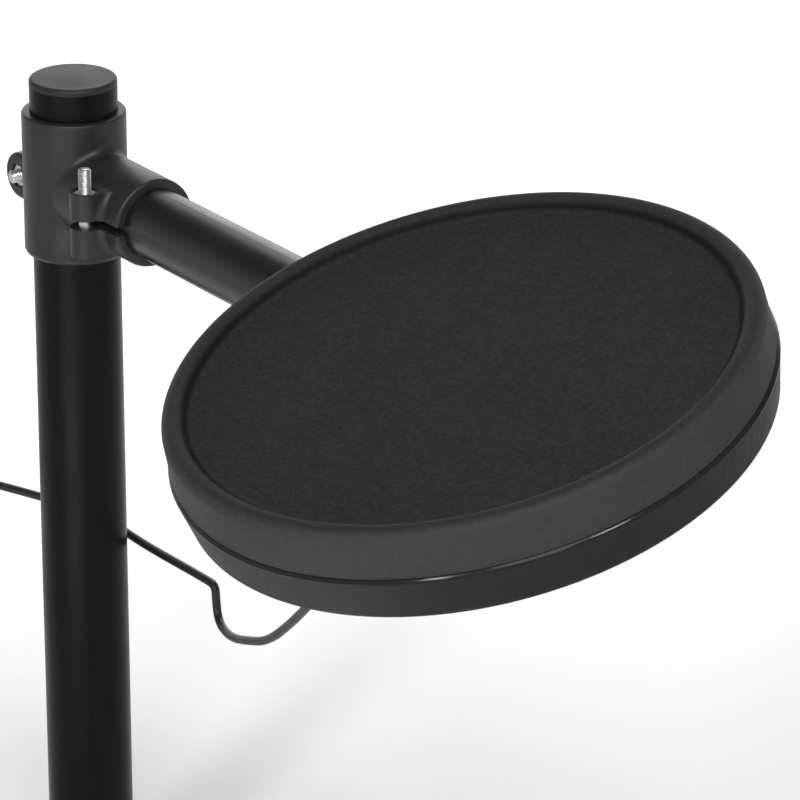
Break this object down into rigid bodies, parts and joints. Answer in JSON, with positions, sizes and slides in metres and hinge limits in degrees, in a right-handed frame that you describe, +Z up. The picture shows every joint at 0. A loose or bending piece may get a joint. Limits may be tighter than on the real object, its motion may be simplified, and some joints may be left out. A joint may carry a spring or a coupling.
{
  "type": "electronic drum pad station",
  "caption": "Round tilting rubber pad of an electronic drum kit on a short arm tube, clamped by a split moulded T joint to a rack post, with a thin lead and jack plug.",
  "frame": {"origin": "centre of the rack post's lower end, on its axis", "axes": "+Z up the post, +X along the arm from the post to the pad, +Y to the far side, away from the side the pad leans to"},
  "size_m": [0.5041, 0.1908, 0.3653],
  "materials": {
    "post_paint": "satin powder coat",
    "arm_paint": "satin powder coat",
    "cap_plastic": "moulded, fine grain",
    "clamp_plastic": "moulded, satin",
    "head_rubber": "matte with fine speckle",
    "plate_steel": "plain sheet",
    "base_plastic": "glossy moulded",
    "foam": "foam",
    "sensor_brass": "plain",
    "cord_rubber": "smooth",
    "bracket_plastic": "moulded, satin",
    "jack_plastic": "moulded",
    "zinc": "bright zinc plate",
    "wing_plastic": "moulded over steel",
    "plug_metal": "nickel plate",
    "plug_plastic": "moulded"
  },
  "bodies": {
    "post": {"post_tube": "post_paint", "post_cap": "cap_plastic"},
    "clamp": {"clamp_body": "clamp_plastic", "arm_clamp_nut": "zinc", "post_clamp_nut": "zinc", "arm_tube": "arm_paint", "arm_cap": "cap_plastic", "pad_cord": "cord_rubber", "far_plug_tip": "plug_metal", "far_plug_grip": "plug_plastic", "far_plug_boot": "plug_plastic"},
    "pad": {"pad_face": "head_rubber", "pad_rim": "head_rubber", "pad_plate": "plate_steel", "pad_base": "base_plastic", "sensor_cushion": "foam", "sensor_disc": "sensor_brass", "sensor_lead": "cord_rubber", "bracket_saddle": "bracket_plastic", "bracket_cap": "bracket_plastic", "jack_socket": "jack_plastic", "jack_nut": "zinc", "bracket_nut_1": "zinc", "bracket_nut_2": "zinc", "base_screw_1": "zinc", "base_screw_2": "zinc", "base_screw_3": "zinc", "base_screw_4": "zinc", "base_screw_5": "zinc", "base_screw_6": "zinc", "bracket_screw_1": "zinc", "bracket_screw_2": "zinc", "bracket_screw_3": "zinc", "bracket_screw_4": "zinc", "pad_plug_tip": "plug_metal", "pad_plug_grip": "plug_plastic", "pad_plug_boot": "plug_plastic"},
    "arm_bolt": {"arm_clamp_bolt": "zinc"},
    "post_bolt": {"post_clamp_bolt": "zinc"},
    "wing_1": {"wing_bolt_1": "wing_plastic"},
    "wing_2": {"wing_bolt_2": "wing_plastic"}
  },
  "joints": [
    {"name": "clamp_swivel", "type": "hinge", "parent": "post", "child": "clamp", "pos_m": [0, 0, 0.3], "axis": [0, 0, 1], "range_deg": [-60, 60]},
    {"name": "pad_tilt", "type": "hinge", "parent": "clamp", "child": "pad", "pos_m": [0.293, 0, 0.3], "axis": [1, 0, 0], "range_deg": [-16.4, 25], "deforming": ["pad_cord"]},
    {"name": "arm_bolt_turn", "type": "hinge", "parent": "clamp", "child": "arm_bolt", "pos_m": [0.037, -0.0191, 0.3], "axis": [0, 0, 1], "continuous": true},
    {"name": "post_bolt_turn", "type": "hinge", "parent": "clamp", "child": "post_bolt", "pos_m": [-0.0222, 0, 0.2983], "axis": [0, -1, 0], "continuous": true},
    {"name": "wing_1_turn", "type": "hinge", "parent": "pad", "child": "wing_1", "pos_m": [0.293, -0.01871, 0.29449], "axis": [0, -0.2823, 0.9593], "continuous": true},
    {"name": "wing_2_turn", "type": "hinge", "parent": "pad", "child": "wing_2", "pos_m": [0.293, 0.01871, 0.30551], "axis": [0, -0.2823, 0.9593], "continuous": true}
  ]
}
